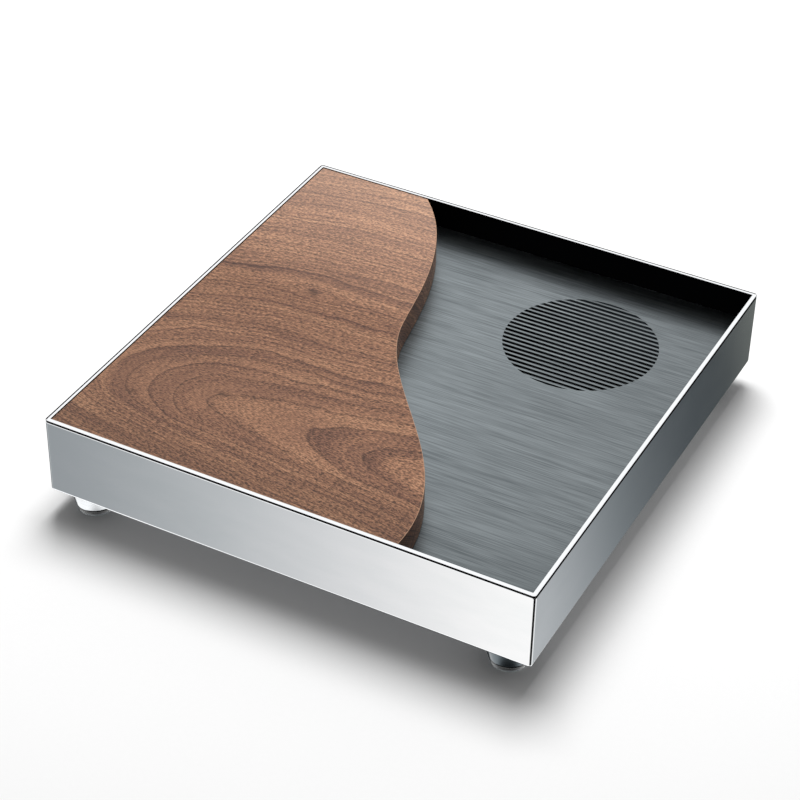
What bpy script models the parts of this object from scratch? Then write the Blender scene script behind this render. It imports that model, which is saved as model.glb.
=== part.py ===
# Wet tea tray: a polished steel case on four feet, a brushed drain deck with a round
# slotted grille, a walnut board with a wavy edge, and a catch pan under the deck.
# Metres, +Z up. The origin is on the table, under the middle of the tray.
# +X runs to the right along the front, +Y to the back.

import math

import bmesh
import bpy
from mathutils import Vector
from mathutils.geometry import interpolate_bezier

mm = 0.001
gap = 0.3 * mm                    # play between pieces that touch
overcut = 1.0 * mm                # how far a cutter runs past the face it opens
smallBevel = 0.5 * mm             # on the edges of small turned and moulded pieces

# case
caseWidth = 310 * mm
caseDepth = 320 * mm
caseHeight = 51.6 * mm             # from the case's underside to the rim's top
caseSheet = 1.2 * mm
caseCorner = 2.0 * mm             # bend radius of the upright corners and the lower edge
footHeight = 15 * mm

# rim frame: a bar that covers the wall's edge, an upright inside the wall, and the ledge
rimWidth = 2.5 * mm
rimThickness = 0.8 * mm
rimRound = 0.7 * mm               # radius of the rim's outer edge
rimArris = 0.15 * mm              # small bevel on the rim's inner edge
rimSealThickness = 0.3 * mm       # black strip between the wall's edge and the rim
rimSealInset = 0.2 * mm
rimSealWidth = 0.8 * mm
innerCorner = 0.4 * mm            # the frame's corners inside are all but sharp
ledgeWidth = 8.0 * mm
ledgeThickness = 1.0 * mm

# deck
recessDepth = 18.6 * mm           # from the rim's top down to the deck's top face
deckThickness = 1.5 * mm
deckCorner = 1.0 * mm
sealThickness = 1.0 * mm
sealWidth = 5.0 * mm
sealStandoff = 1.0 * mm           # between the strip and the frame's upright
grilleX = 71.5 * mm
grilleY = 82.0 * mm
grilleRadius = 48.0 * mm
slotCount = 25
slotPitch = 3.95 * mm
slotWidth = 2.4 * mm
fingerHole = (-95 * mm, 0.0)      # under the board, to lift the deck by
fingerHoleRadius = 13.0 * mm
ribPlaces = (-45 * mm, 8 * mm)
ribLength = 260 * mm
ribWidth = 10.0 * mm
ribDepth = 8.0 * mm
ribSheet = 1.0 * mm

# board
boardThickness = 17.8 * mm
boardDrop = 0.3 * mm              # the board's top lies this far below the rim's
boardSideGap = 0.4 * mm
boardArris = 0.5 * mm
padPlaces = ((-135, 135), (-60, 125), (-135, -135), (40, -135))      # mm
padRadius = 7.0 * mm
padThickness = 1.5 * mm
pegPlaces = ((-105, 85), (-60, -100))                                # mm
pegRadius = 4.0 * mm
pegHeight = 7.0 * mm
pegShank = 2.5 * mm
pegRivet = 1.2 * mm

# catch pan
panClearance = 1.5 * mm           # between the pan's lip and the ledge, all round
panLip = 3.5 * mm
panLipDrop = 3.0 * mm
panSheet = 1.0 * mm
panCorner = 10.0 * mm
panBendRadius = 2.0 * mm
panLipArris = 0.4 * mm
panTopDrop = 2.4 * mm             # from the ledge's lower face down to the pan's lip
panRestHeight = 5.7 * mm
panRestRadius = 8.0 * mm
panRestPlaces = ((-112, -105), (112, -105), (-112, 105), (112, 105)) # mm

# feet
footInsetX = 20 * mm
footInsetY = 16 * mm
footTopRadius = 14.0 * mm
footLowRadius = 12.0 * mm
treadHeight = 4.5 * mm
treadTopRadius = 11.6 * mm
treadLowRadius = 10.6 * mm
plugRadius = 9.0 * mm             # the tread's plug sits in a recess under the foot
footRecess = 1.2 * mm
screwRadius = 2.5 * mm
screwHeadRadius = 4.75 * mm
screwHeadHeight = 2.7 * mm
footBoreDepth = 7.0 * mm          # the foot's blind hole for the screw
screwTipGap = 1.0 * mm            # from the screw's tip to the bottom of that hole
socketRadius = 1.7 * mm
socketDepth = 1.4 * mm
washerRadius = 5.2 * mm
washerThickness = 1.0 * mm

# heights and half sizes that follow from the above
caseBottom = footHeight
rimTop = caseBottom + caseHeight
rimBottom = rimTop - rimThickness
wallTop = rimBottom - rimSealThickness - 2 * gap
deckTop = rimTop - recessDepth
deckBottom = deckTop - deckThickness
ledgeTop = deckBottom - sealThickness - 2 * gap
ledgeBottom = ledgeTop - ledgeThickness
floorTop = caseBottom + caseSheet
panBottom = floorTop + panRestHeight + 2 * gap
panTop = ledgeBottom - panTopDrop
boardTop = rimTop - boardDrop
boardBottom = boardTop - boardThickness
halfX = caseWidth / 2
halfY = caseDepth / 2
innerX = halfX - rimWidth         # the recess, inside the rim
innerY = halfY - rimWidth
footX = halfX - footInsetX
footY = halfY - footInsetY

roundSteps = 28                   # sides of the larger round pieces
smallSteps = 18                   # sides of screws, pads and pegs; a multiple of 6 for the hexagon
sharpAngle = math.radians(35)


def clearScene():
    for item in list(bpy.data.objects):
        bpy.data.objects.remove(item)


def makeMaterial(name, color, roughness, metallic):
    material = bpy.data.materials.new(name)
    material.use_nodes = True
    shader = material.node_tree.nodes["Principled BSDF"]
    shader.inputs["Base Color"].default_value = (*color, 1.0)
    shader.inputs["Roughness"].default_value = roughness
    shader.inputs["Metallic"].default_value = metallic
    return material


def makeCarrier(name, parent=None):
    carrier = bpy.data.objects.new(name, None)
    carrier.empty_display_size = 0.02
    carrier.parent = parent
    bpy.context.scene.collection.objects.link(carrier)
    return carrier


def makeObject(name, mesh, material, parent=None, place=(0.0, 0.0, 0.0)):
    if not mesh.materials:
        mesh.materials.append(material)
    item = bpy.data.objects.new(name, mesh)
    item.location = place
    item.parent = parent
    bpy.context.scene.collection.objects.link(item)
    return item


def finishMesh(name, bm, smooth=True):
    bmesh.ops.recalc_face_normals(bm, faces=bm.faces)
    mesh = bpy.data.meshes.new(name)
    bm.to_mesh(mesh)
    bm.free()
    if smooth:
        mesh.shade_smooth()
        mesh.set_sharp_from_angle(angle=sharpAngle)
    return mesh


# loops of points, all wound the same way

def circleLoop(radius, z, steps=roundSteps):
    turns = [2 * math.pi * i / steps for i in range(steps)]
    return [(radius * math.cos(a), radius * math.sin(a), z) for a in turns]


def hexLoop(radius, z, steps):
    # a hexagon with as many points as the circle around it
    points = []
    for i in range(steps):
        angle = 2 * math.pi * i / steps
        toFlat = (angle % (math.pi / 3)) - math.pi / 6
        reach = radius * math.cos(math.pi / 6) / math.cos(toFlat)
        points.append((reach * math.cos(angle), reach * math.sin(angle), z))
    return points


def cornerLoop(sizeX, sizeY, radius, z, steps=4):
    # a rectangle of half sizes sizeX and sizeY with round corners
    points = []
    for turn, (signX, signY) in enumerate(((1, 1), (-1, 1), (-1, -1), (1, -1))):
        for step in range(steps + 1):
            angle = (turn + step / steps) * math.pi / 2
            x = signX * (sizeX - radius) + radius * math.cos(angle)
            y = signY * (sizeY - radius) + radius * math.sin(angle)
            points.append((x, y, z))
    return points


def loopMesh(name, loops, closed=False):
    # walls between neighbouring loops; capped ends, or joined end to end when closed
    bm = bmesh.new()
    rings = [[bm.verts.new(point) for point in loop] for loop in loops]
    pairs = list(zip(rings, rings[1:]))
    if closed:
        pairs.append((rings[-1], rings[0]))
    for lower, upper in pairs:
        count = len(lower)
        for i in range(count):
            j = (i + 1) % count
            bm.faces.new((lower[i], lower[j], upper[j], upper[i]))
    if not closed:
        bm.faces.new(rings[0])
        bm.faces.new(rings[-1])
    return finishMesh(name, bm)


def turnedMesh(name, profile, steps=roundSteps):
    # profile: radius and height of each ring, from one capped end to the other
    return loopMesh(name, [circleLoop(radius, z, steps) for radius, z in profile])


def addPrism(bm, outline, low, high):
    floor = [bm.verts.new((x, y, low)) for x, y in outline]
    face = bm.faces.new(floor)
    risen = bmesh.ops.extrude_face_region(bm, geom=[face])
    top = [item for item in risen["geom"] if isinstance(item, bmesh.types.BMVert)]
    bmesh.ops.translate(bm, verts=top, vec=(0, 0, high - low))
    return top


def circleOutline(x, y, radius, steps=roundSteps):
    return [(x + px, y + py) for px, py, _ in circleLoop(radius, 0.0, steps)]


def addCutter(target, name, bm):
    cutter = makeObject(name, finishMesh(name, bm, smooth=False), steel)
    cutter.hide_render = True
    cutter.hide_viewport = False
    cutter.display_type = "WIRE"
    cut = target.modifiers.new(name, "BOOLEAN")
    cut.operation = "DIFFERENCE"
    cut.solver = "EXACT"
    cut.object = cutter


def footPlaces():
    return [(x, y) for y in (-footY, footY) for x in (-footX, footX)]


sideNames = ("front_left", "front_right", "back_left", "back_right")


def buildCase():
    bottomArc = 3                 # steps in the bend between bottom and walls
    outer = []
    inner = []
    bendIn = caseCorner - caseSheet
    for step in range(bottomArc + 1):
        angle = math.pi / 2 * step / bottomArc
        rise = 1 - math.cos(angle)
        inset = 1 - math.sin(angle)
        outer.append(cornerLoop(halfX - caseCorner * inset, halfY - caseCorner * inset,
                                caseCorner, caseBottom + caseCorner * rise))
        side = caseSheet + bendIn * inset
        inner.append(cornerLoop(halfX - side, halfY - side, bendIn, floorTop + bendIn * rise))
    outer.append(cornerLoop(halfX, halfY, caseCorner, wallTop))
    inner.append(cornerLoop(halfX - caseSheet, halfY - caseSheet, bendIn, wallTop))
    mesh = loopMesh("outer_case", outer + inner[::-1])
    case = makeObject("outer_case", mesh, polished)
    bm = bmesh.new()
    for x, y in footPlaces():
        addPrism(bm, circleOutline(x, y, screwRadius + gap, smallSteps),
                 caseBottom - overcut, floorTop + overcut)
    addCutter(case, "foot_hole_cutter", bm)


def buildRim():
    skin = caseSheet + gap        # the frame's upright starts just inside the wall
    inside = rimWidth + ledgeWidth
    roundOver = 3                 # steps in the rim's outer edge
    section = []
    for step in range(roundOver + 1):
        angle = math.pi / 2 * step / roundOver
        section.append((rimRound * (1 - math.sin(angle)), caseCorner,
                        rimTop - rimRound * (1 - math.cos(angle))))
    section += [
        (0.0, caseCorner, rimBottom),
        (skin, innerCorner, rimBottom),
        (skin, innerCorner, ledgeBottom),
        (inside, innerCorner, ledgeBottom),
        (inside, innerCorner, ledgeTop),
        (rimWidth, innerCorner, ledgeTop),
        (rimWidth, innerCorner, rimTop - rimArris),
        (rimWidth - rimArris, innerCorner, rimTop),
    ]
    loops = [cornerLoop(halfX - inset, halfY - inset, radius, z) for inset, radius, z in section]
    makeObject("rim_frame", loopMesh("rim_frame", loops, closed=True), polished)


def buildRimSeal():
    inside = rimSealInset + rimSealWidth
    low = wallTop + gap
    section = (
        (rimSealInset, low),
        (inside, low),
        (inside, low + rimSealThickness),
        (rimSealInset, low + rimSealThickness),
    )
    loops = [cornerLoop(halfX - inset, halfY - inset, caseCorner - inset, z, 3) for inset, z in section]
    makeObject("rim_seal", loopMesh("rim_seal", loops, closed=True), silicone)


def buildSeal():
    outside = sealStandoff
    low = ledgeTop + gap
    section = (
        (outside, low),
        (outside + sealWidth, low),
        (outside + sealWidth, low + sealThickness),
        (outside, low + sealThickness),
    )
    loops = [cornerLoop(innerX - inset, innerY - inset, 1.0 * mm, z) for inset, z in section]
    makeObject("deck_seal", loopMesh("deck_seal", loops, closed=True), silicone)


def slotOutline(offset):
    # one slot, bounded above and below by straight lines and at its ends by the grille's circle
    low = offset - slotWidth / 2
    high = offset + slotWidth / 2
    low = max(low, -grilleRadius)
    high = min(high, grilleRadius)
    steps = 4
    right = []
    for i in range(steps + 1):
        y = low + (high - low) * i / steps
        right.append((math.sqrt(max(grilleRadius ** 2 - y ** 2, 0.0)), y))
    left = [(-x, y) for x, y in reversed(right)]
    outline = []
    for x, y in right + left:
        point = (grilleX + x, grilleY + y)
        if not outline or (Vector(point) - Vector(outline[-1])).length > 0.01 * mm:
            outline.append(point)
    if (Vector(outline[0]) - Vector(outline[-1])).length < 0.01 * mm:
        outline.pop()
    return outline


def buildDeck(carrier):
    loops = [cornerLoop(innerX - gap, innerY - gap, deckCorner, z) for z in (deckBottom, deckTop)]
    deck = makeObject("deck_plate", loopMesh("deck_plate", loops), brushed, carrier)
    below = deckBottom - overcut
    above = deckTop + overcut
    bm = bmesh.new()
    for index in range(slotCount):
        addPrism(bm, slotOutline((index - slotCount // 2) * slotPitch), below, above)
    addPrism(bm, circleOutline(*fingerHole, fingerHoleRadius), below, above)
    for x, y in pegPlaces:
        addPrism(bm, circleOutline(x * mm, y * mm, pegShank + gap, smallSteps), below, above)
    addCutter(deck, "deck_cutter", bm)

    for name, x in zip(("deck_rib_left", "deck_rib_right"), ribPlaces):
        top = deckBottom - gap
        outline = (
            (x, top), (x, top - ribDepth), (x + ribSheet, top - ribDepth),
            (x + ribSheet, top - ribSheet), (x + ribWidth, top - ribSheet), (x + ribWidth, top),
        )
        bm = bmesh.new()
        ends = [[bm.verts.new((px, y, pz)) for px, pz in outline] for y in (-ribLength / 2, ribLength / 2)]
        for i in range(len(outline)):
            j = (i + 1) % len(outline)
            bm.faces.new((ends[0][i], ends[0][j], ends[1][j], ends[1][i]))
        bm.faces.new(ends[0])
        bm.faces.new(ends[1])
        makeObject(name, finishMesh(name, bm), steel, carrier)

    low = deckBottom - gap - pegRivet
    top = deckTop + gap + pegHeight
    profile = (
        (pegRadius, low), (pegRadius, deckBottom - gap), (pegShank, deckBottom - gap),
        (pegShank, deckTop + gap), (pegRadius, deckTop + gap), (pegRadius, top - smallBevel),
        (pegRadius - smallBevel, top),
    )
    pegMesh = turnedMesh("board_peg", profile, smallSteps)
    for name, (x, y) in zip(("board_peg_back", "board_peg_front"), pegPlaces):
        makeObject(name, pegMesh, steel, carrier, (x * mm, y * mm, 0.0))


def boardOutline():
    # straight on three sides; the fourth is one long S made of two smooth curves
    left = -innerX + boardSideGap
    back = innerY - boardSideGap
    front = -back
    waistX = -20.2 * mm
    waistY = 18.9 * mm
    waistSlope = Vector((0.268, -0.963))
    backPoint = Vector((-73.9 * mm, back))
    backHandle = Vector((-30.1 * mm, 112.7 * mm))
    waist = Vector((waistX, waistY))
    frontHandle = Vector((76.3 * mm, -81.7 * mm))
    frontPoint = Vector((72.0 * mm, front))
    steps = 18
    upper = interpolate_bezier(backPoint, backHandle, waist - waistSlope * 24.8 * mm, waist, steps)
    lower = interpolate_bezier(waist, waist + waistSlope * 62.0 * mm, frontHandle, frontPoint, steps)
    wave = list(upper) + list(lower)[1:]
    return [(left, back), (left, front)] + [(p.x, p.y) for p in reversed(wave)]


def buildBoard(carrier):
    bm = bmesh.new()
    top = addPrism(bm, boardOutline(), boardBottom, boardTop)
    edges = [edge for edge in bm.edges if all(v in top for v in edge.verts)]
    bmesh.ops.bevel(bm, geom=edges, offset=boardArris, segments=2, profile=0.5, affect="EDGES")
    board = makeObject("walnut_board", finishMesh("walnut_board", bm), walnut, carrier)
    below = boardBottom - overcut
    bm = bmesh.new()
    for x, y in padPlaces:
        addPrism(bm, circleOutline(x * mm, y * mm, padRadius + gap, smallSteps), below,
                 deckTop + padThickness + 2 * gap)
    for x, y in pegPlaces:
        addPrism(bm, circleOutline(x * mm, y * mm, pegRadius + gap, smallSteps), below,
                 deckTop + pegHeight + 3 * gap)
    addCutter(board, "board_cutter", bm)

    low = deckTop + gap
    profile = ((padRadius - smallBevel, low), (padRadius, low + smallBevel), (padRadius, low + padThickness))
    padMesh = turnedMesh("board_pad", profile, smallSteps)
    names = ("board_pad_back_left", "board_pad_back_right", "board_pad_front_left", "board_pad_front_right")
    for name, (x, y) in zip(names, padPlaces):
        makeObject(name, padMesh, silicone, carrier, (x * mm, y * mm, 0.0))


def panBend(inset, radius, low):
    # the bend between the pan's floor and its wall, from the floor outwards
    steps = 3
    bend = []
    for step in range(steps + 1):
        angle = math.pi / 2 * step / steps
        bend.append((inset + radius * (1 - math.sin(angle)), low + radius * (1 - math.cos(angle))))
    return bend


def buildPan(carrier):
    lipX = innerX - ledgeWidth - panClearance
    lipY = innerY - ledgeWidth - panClearance
    section = panBend(panLip + panSheet, panBendRadius - panSheet, panBottom + panSheet)
    section += [
        (panLip + panSheet, panTop),
        (panLipArris, panTop),
        (0.0, panTop - panLipArris),
        (0.0, panTop - panLipDrop),
        (panSheet, panTop - panLipDrop),
        (panSheet, panTop - panSheet),
        (panLip, panTop - panSheet),
    ]
    section += panBend(panLip, panBendRadius, panBottom)[::-1]
    loops = [cornerLoop(lipX - inset, lipY - inset, panCorner - inset, z, 6) for inset, z in section]
    makeObject("catch_pan", loopMesh("catch_pan", loops), steel, carrier)


def buildPanRests():
    low = floorTop + gap
    high = low + panRestHeight
    profile = ((panRestRadius, low), (panRestRadius, high - smallBevel), (panRestRadius - smallBevel, high))
    restMesh = turnedMesh("pan_rest", profile, smallSteps)
    for side, (x, y) in zip(sideNames, panRestPlaces):
        makeObject("pan_rest_" + side, restMesh, silicone, None, (x * mm, y * mm, 0.0))


def footMeshes():
    top = caseBottom - gap
    coneLow = treadHeight + gap
    plugTop = coneLow + footRecess
    bore = screwRadius + gap
    coneMesh = turnedMesh("foot_cone", (
        (bore, top - footBoreDepth),
        (bore, top),
        (footTopRadius - smallBevel, top),
        (footTopRadius, top - smallBevel),
        (footLowRadius, coneLow + smallBevel),
        (footLowRadius - smallBevel, coneLow),
        (plugRadius, coneLow),
        (plugRadius, plugTop),
    ))
    treadMesh = turnedMesh("foot_tread", (
        (plugRadius - gap, plugTop - gap),
        (plugRadius - gap, treadHeight),
        (treadTopRadius - smallBevel, treadHeight),
        (treadTopRadius, treadHeight - smallBevel),
        (treadLowRadius, smallBevel),
        (treadLowRadius - smallBevel, 0.0),
    ))
    return coneMesh, treadMesh


def screwMeshes():
    washerLow = floorTop + gap
    washerTop = washerLow + washerThickness
    bore = screwRadius + gap
    washerLoops = [
        circleLoop(bore, washerLow, smallSteps),
        circleLoop(washerRadius, washerLow, smallSteps),
        circleLoop(washerRadius, washerTop, smallSteps),
        circleLoop(bore, washerTop, smallSteps),
    ]
    headLow = washerTop + gap
    headTop = headLow + screwHeadHeight
    screwLow = caseBottom - gap - footBoreDepth + screwTipGap
    # a domed head: upright side, shoulder, then a flat with the hexagon socket in it
    screwLoops = [
        circleLoop(screwRadius - smallBevel, screwLow, smallSteps),
        circleLoop(screwRadius, screwLow + smallBevel, smallSteps),
        circleLoop(screwRadius, headLow, smallSteps),
        circleLoop(screwHeadRadius, headLow, smallSteps),
        circleLoop(screwHeadRadius, headLow + screwHeadHeight * 0.3, smallSteps),
        circleLoop(screwHeadRadius * 0.85, headLow + screwHeadHeight * 0.72, smallSteps),
        circleLoop(screwHeadRadius * 0.55, headTop, smallSteps),
        hexLoop(socketRadius, headTop, smallSteps),
        hexLoop(socketRadius, headTop - socketDepth, smallSteps),
    ]
    return loopMesh("foot_washer", washerLoops, closed=True), loopMesh("foot_screw", screwLoops)


def buildFeet():
    coneMesh, treadMesh = footMeshes()
    washerMesh, screwMesh = screwMeshes()
    for side, (x, y) in zip(sideNames, footPlaces()):
        place = (x, y, 0.0)
        makeObject("foot_cone_" + side, coneMesh, polished, None, place)
        makeObject("foot_tread_" + side, treadMesh, silicone, None, place)
        makeObject("foot_washer_" + side, washerMesh, steel, None, place)
        makeObject("foot_screw_" + side, screwMesh, steel, None, place)


clearScene()
polished = makeMaterial("polished_steel", (0.78, 0.79, 0.80), 0.08, 1.0)
brushed = makeMaterial("brushed_steel", (0.50, 0.53, 0.55), 0.32, 1.0)
steel = makeMaterial("plain_steel", (0.62, 0.63, 0.64), 0.28, 1.0)
walnut = makeMaterial("oiled_walnut", (0.27, 0.15, 0.10), 0.45, 0.0)
silicone = makeMaterial("black_silicone", (0.03, 0.03, 0.03), 0.35, 0.0)

# each carrier lifts straight up, and what it carries goes with it
panCarrier = makeCarrier("pan_carrier")
deckCarrier = makeCarrier("deck_carrier", panCarrier)
boardCarrier = makeCarrier("board_carrier", deckCarrier)

buildCase()
buildRim()
buildRimSeal()
buildSeal()
buildPan(panCarrier)
buildPanRests()
buildDeck(deckCarrier)
buildBoard(boardCarrier)
buildFeet()
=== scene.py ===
import math

import bpy
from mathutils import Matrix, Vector


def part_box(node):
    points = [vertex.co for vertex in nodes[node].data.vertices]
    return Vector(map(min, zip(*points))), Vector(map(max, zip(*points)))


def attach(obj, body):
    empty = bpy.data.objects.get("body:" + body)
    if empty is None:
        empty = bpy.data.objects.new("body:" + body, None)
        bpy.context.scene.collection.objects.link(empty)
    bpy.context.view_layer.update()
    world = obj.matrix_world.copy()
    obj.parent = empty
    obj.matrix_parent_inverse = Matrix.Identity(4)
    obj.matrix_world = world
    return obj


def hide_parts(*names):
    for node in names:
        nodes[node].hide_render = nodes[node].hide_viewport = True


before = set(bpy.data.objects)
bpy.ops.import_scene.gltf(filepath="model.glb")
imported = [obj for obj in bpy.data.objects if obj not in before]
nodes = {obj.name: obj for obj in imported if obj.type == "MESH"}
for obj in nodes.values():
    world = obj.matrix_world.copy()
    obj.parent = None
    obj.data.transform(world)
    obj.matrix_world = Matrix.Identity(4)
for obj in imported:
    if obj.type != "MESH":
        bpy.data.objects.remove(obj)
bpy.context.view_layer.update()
mm = 0.001
print("frame loaded:", len(nodes), "nodes")


def toLinear(hexText):
    # sRGB hex to linear red, green, blue
    values = [int(hexText[i:i + 2], 16) / 255 for i in (1, 3, 5)]
    return tuple(v / 12.92 if v <= 0.04045 else ((v + 0.055) / 1.055) ** 2.4 for v in values)


def rgba(hexText):
    return (*toLinear(hexText), 1.0)


def addNode(tree, kind, inputs=None, **settings):
    # one node with its settings; an input is a value, or a socket to link from
    node = tree.nodes.new(kind)
    for name, value in settings.items():
        setattr(node, name, value)
    for key, value in (inputs or {}).items():
        if isinstance(value, bpy.types.NodeSocket):
            tree.links.new(value, node.inputs[key])
        else:
            node.inputs[key].default_value = value
    return node


def newMaterial(name):
    material = bpy.data.materials.new(name)
    material.use_nodes = True
    tree = material.node_tree
    return material, tree, tree.nodes["Principled BSDF"]


def calc(tree, operation, a, b=None):
    inputs = {0: a} if b is None else {0: a, 1: b}
    return addNode(tree, "ShaderNodeMath", inputs, operation=operation).outputs[0]


def mmCoords(tree):
    # object coordinates in millimetres, whole and split
    place = addNode(tree, "ShaderNodeTexCoord").outputs["Object"]
    scaled = addNode(tree, "ShaderNodeVectorMath", {0: place, "Scale": 1000.0}, operation="SCALE").outputs[0]
    split = addNode(tree, "ShaderNodeSeparateXYZ", {0: scaled})
    return scaled, split.outputs


def noise(tree, vector, scale, detail=2.0, rough=0.5):
    # scale: repeats per millimetre along each axis, as a vector
    spread = addNode(tree, "ShaderNodeVectorMath", {0: vector, 1: scale}, operation="MULTIPLY").outputs[0]
    inputs = {"Vector": spread, "Scale": 1.0, "Detail": detail, "Roughness": rough}
    return addNode(tree, "ShaderNodeTexNoise", inputs, noise_dimensions="3D").outputs["Fac"]


def ramp(tree, fac, stops):
    node = addNode(tree, "ShaderNodeValToRGB", {"Fac": fac})
    band = node.color_ramp
    band.elements[0].position, band.elements[0].color = stops[0]
    band.elements[1].position, band.elements[1].color = stops[-1]
    for position, color in stops[1:-1]:
        band.elements.new(position).color = color
    return node.outputs["Color"]


def remap(tree, value, low, high, toLow=0.0, toHigh=1.0, smooth=False):
    kind = "SMOOTHSTEP" if smooth else "LINEAR"
    inputs = {"Value": value, "From Min": low, "From Max": high, "To Min": toLow, "To Max": toHigh}
    return addNode(tree, "ShaderNodeMapRange", inputs, interpolation_type=kind).outputs[0]


def mixColor(tree, fac, a, b):
    return addNode(tree, "ShaderNodeMix", {0: fac, 6: a, 7: b}, data_type="RGBA").outputs[2]


def scaleColor(tree, color, factor):
    return addNode(tree, "ShaderNodeVectorMath", {0: color, "Scale": factor}, operation="SCALE").outputs[0]


def bump(tree, height, strength, distance):
    inputs = {"Height": height, "Strength": strength, "Distance": distance}
    return addNode(tree, "ShaderNodeBump", inputs).outputs["Normal"]


# scales are repeats per millimetre along X, Y and Z
mirrorSettings = {
    "tint": "#e9eaec", "hazeTint": "#e4e6e8",
    "roughness": 0.055, "haze": 0.02, "wipe": 0.012,
    "hazeScale": (0.03, 0.03, 0.09), "wipeScale": (0.9, 0.9, 0.02),
}


def makeMirrorSteel():
    # stainless sheet, buffed to a mirror: bright, with a faint haze from the buffing wheel
    material, tree, shader = newMaterial("mirrorPolishedStainless")
    coords = mmCoords(tree)[0]
    s = mirrorSettings
    haze = noise(tree, coords, s["hazeScale"], 3.0)
    wipe = noise(tree, coords, s["wipeScale"], 2.0)
    rough = calc(tree, "ADD", remap(tree, haze, 0.35, 0.7, s["roughness"], s["roughness"] + s["haze"]),
                 remap(tree, wipe, 0.4, 0.8, 0.0, s["wipe"]))
    tint = mixColor(tree, remap(tree, haze, 0.3, 0.7), rgba(s["tint"]), rgba(s["hazeTint"]))
    tree.links.new(tint, shader.inputs["Base Color"])
    tree.links.new(rough, shader.inputs["Roughness"])
    shader.inputs["Metallic"].default_value = 1.0
    return material


footTones = {
    "left": "#d2d5d7", "right": "#50595e", "roughness": 0.09,
    "fromX": -125, "toX": 60,       # where the painted shade runs, in millimetres
    "turningScale": (0.02, 0.02, 2.6), "cloudScale": (0.12, 0.12, 0.05),
}


def makeFootSteel():
    # turned stainless cone, polished, with painted shade: its tint darkens towards the right, where it stands
    # deeper in the tray's shade
    material, tree, shader = newMaterial("turnedPolishedStainless")
    coords, axes = mmCoords(tree)
    s = footTones
    turning = noise(tree, coords, s["turningScale"], 2.0)
    cloud = noise(tree, coords, s["cloudScale"], 3.0)
    # painted shade and reflection: the tint runs from bright on the left to dark on the right
    tint = mixColor(tree, remap(tree, axes[0], s["fromX"], s["toX"]), rgba(s["left"]), rgba(s["right"]))
    shade = calc(tree, "ADD", remap(tree, turning, 0.3, 0.7, 0.88, 1.06),
                 remap(tree, cloud, 0.3, 0.7, -0.14, 0.04))
    tree.links.new(scaleColor(tree, tint, shade), shader.inputs["Base Color"])
    tree.links.new(remap(tree, turning, 0.3, 0.7, s["roughness"], s["roughness"] + 0.06),
                   shader.inputs["Roughness"])
    shader.inputs["Metallic"].default_value = 1.0
    return material


treadTones = {"dark": "#15181a", "pale": "#dbe2e5", "roughness": 0.2, "darkAbove": 3.0, "paleBelow": 0.6}


def makeTreadRubber():
    # smoke-grey silicone tread, dark, with a painted highlight that makes its thin lower rim pale
    material, tree, shader = newMaterial("smokeSiliconeTread")
    coords, axes = mmCoords(tree)
    s = treadTones
    dust = noise(tree, coords, (0.3, 0.3, 0.3), 3.0)
    height = calc(tree, "ADD", axes[2], remap(tree, dust, 0.3, 0.7, -0.15, 0.15))
    # painted highlight: the lower rim is drawn pale
    paintedHighlight = remap(tree, height, s["darkAbove"], s["paleBelow"], smooth=True)
    tint = mixColor(tree, paintedHighlight, rgba(s["dark"]), rgba(s["pale"]))
    tree.links.new(tint, shader.inputs["Base Color"])
    tree.links.new(remap(tree, dust, 0.3, 0.7, s["roughness"], s["roughness"] + 0.12),
                   shader.inputs["Roughness"])
    return material


paintedShadeSettings = {"color": "#020203", "grain": "#040405", "roughness": 0.5, "specular": 0.02}


def makePaintedShadeBlack():
    # painted shade: deep black with a dull sheen, standing in for the shade on the frame's inner side and the
    # dark lines along its outer edges
    material, tree, shader = newMaterial("blackElectroCoat")
    coords = mmCoords(tree)[0]
    grain = noise(tree, coords, (1.6, 1.6, 1.6), 3.0)
    tint = mixColor(tree, grain, rgba(paintedShadeSettings["color"]), rgba(paintedShadeSettings["grain"]))
    tree.links.new(tint, shader.inputs["Base Color"])
    tree.links.new(remap(tree, grain, 0.3, 0.7, paintedShadeSettings["roughness"] - 0.05,
                         paintedShadeSettings["roughness"] + 0.08), shader.inputs["Roughness"])
    shader.inputs["Specular IOR Level"].default_value = paintedShadeSettings["specular"]
    tree.links.new(bump(tree, grain, 0.1, 0.0001), shader.inputs["Normal"])
    return material


deckSettings = {
    "dark": "#5f6568", "light": "#868d90", "roughness": 0.34, "anisotropy": 0.55,
    # length along X and spacing along Y of each layer of brush marks, and its share of the tone
    "line": (60.0, 0.6, 0.62), "broad": (160.0, 5.0, 0.30),
    "cloud": (90.0, 40.0, 0.18), "hair": (28.0, 0.9, 0.45),
    # painted reflection and shade: how much paler on the left and darker on the right and along the front
    "leftGain": 1.17, "rightGain": 0.90, "frontGain": 0.86,
}


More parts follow.
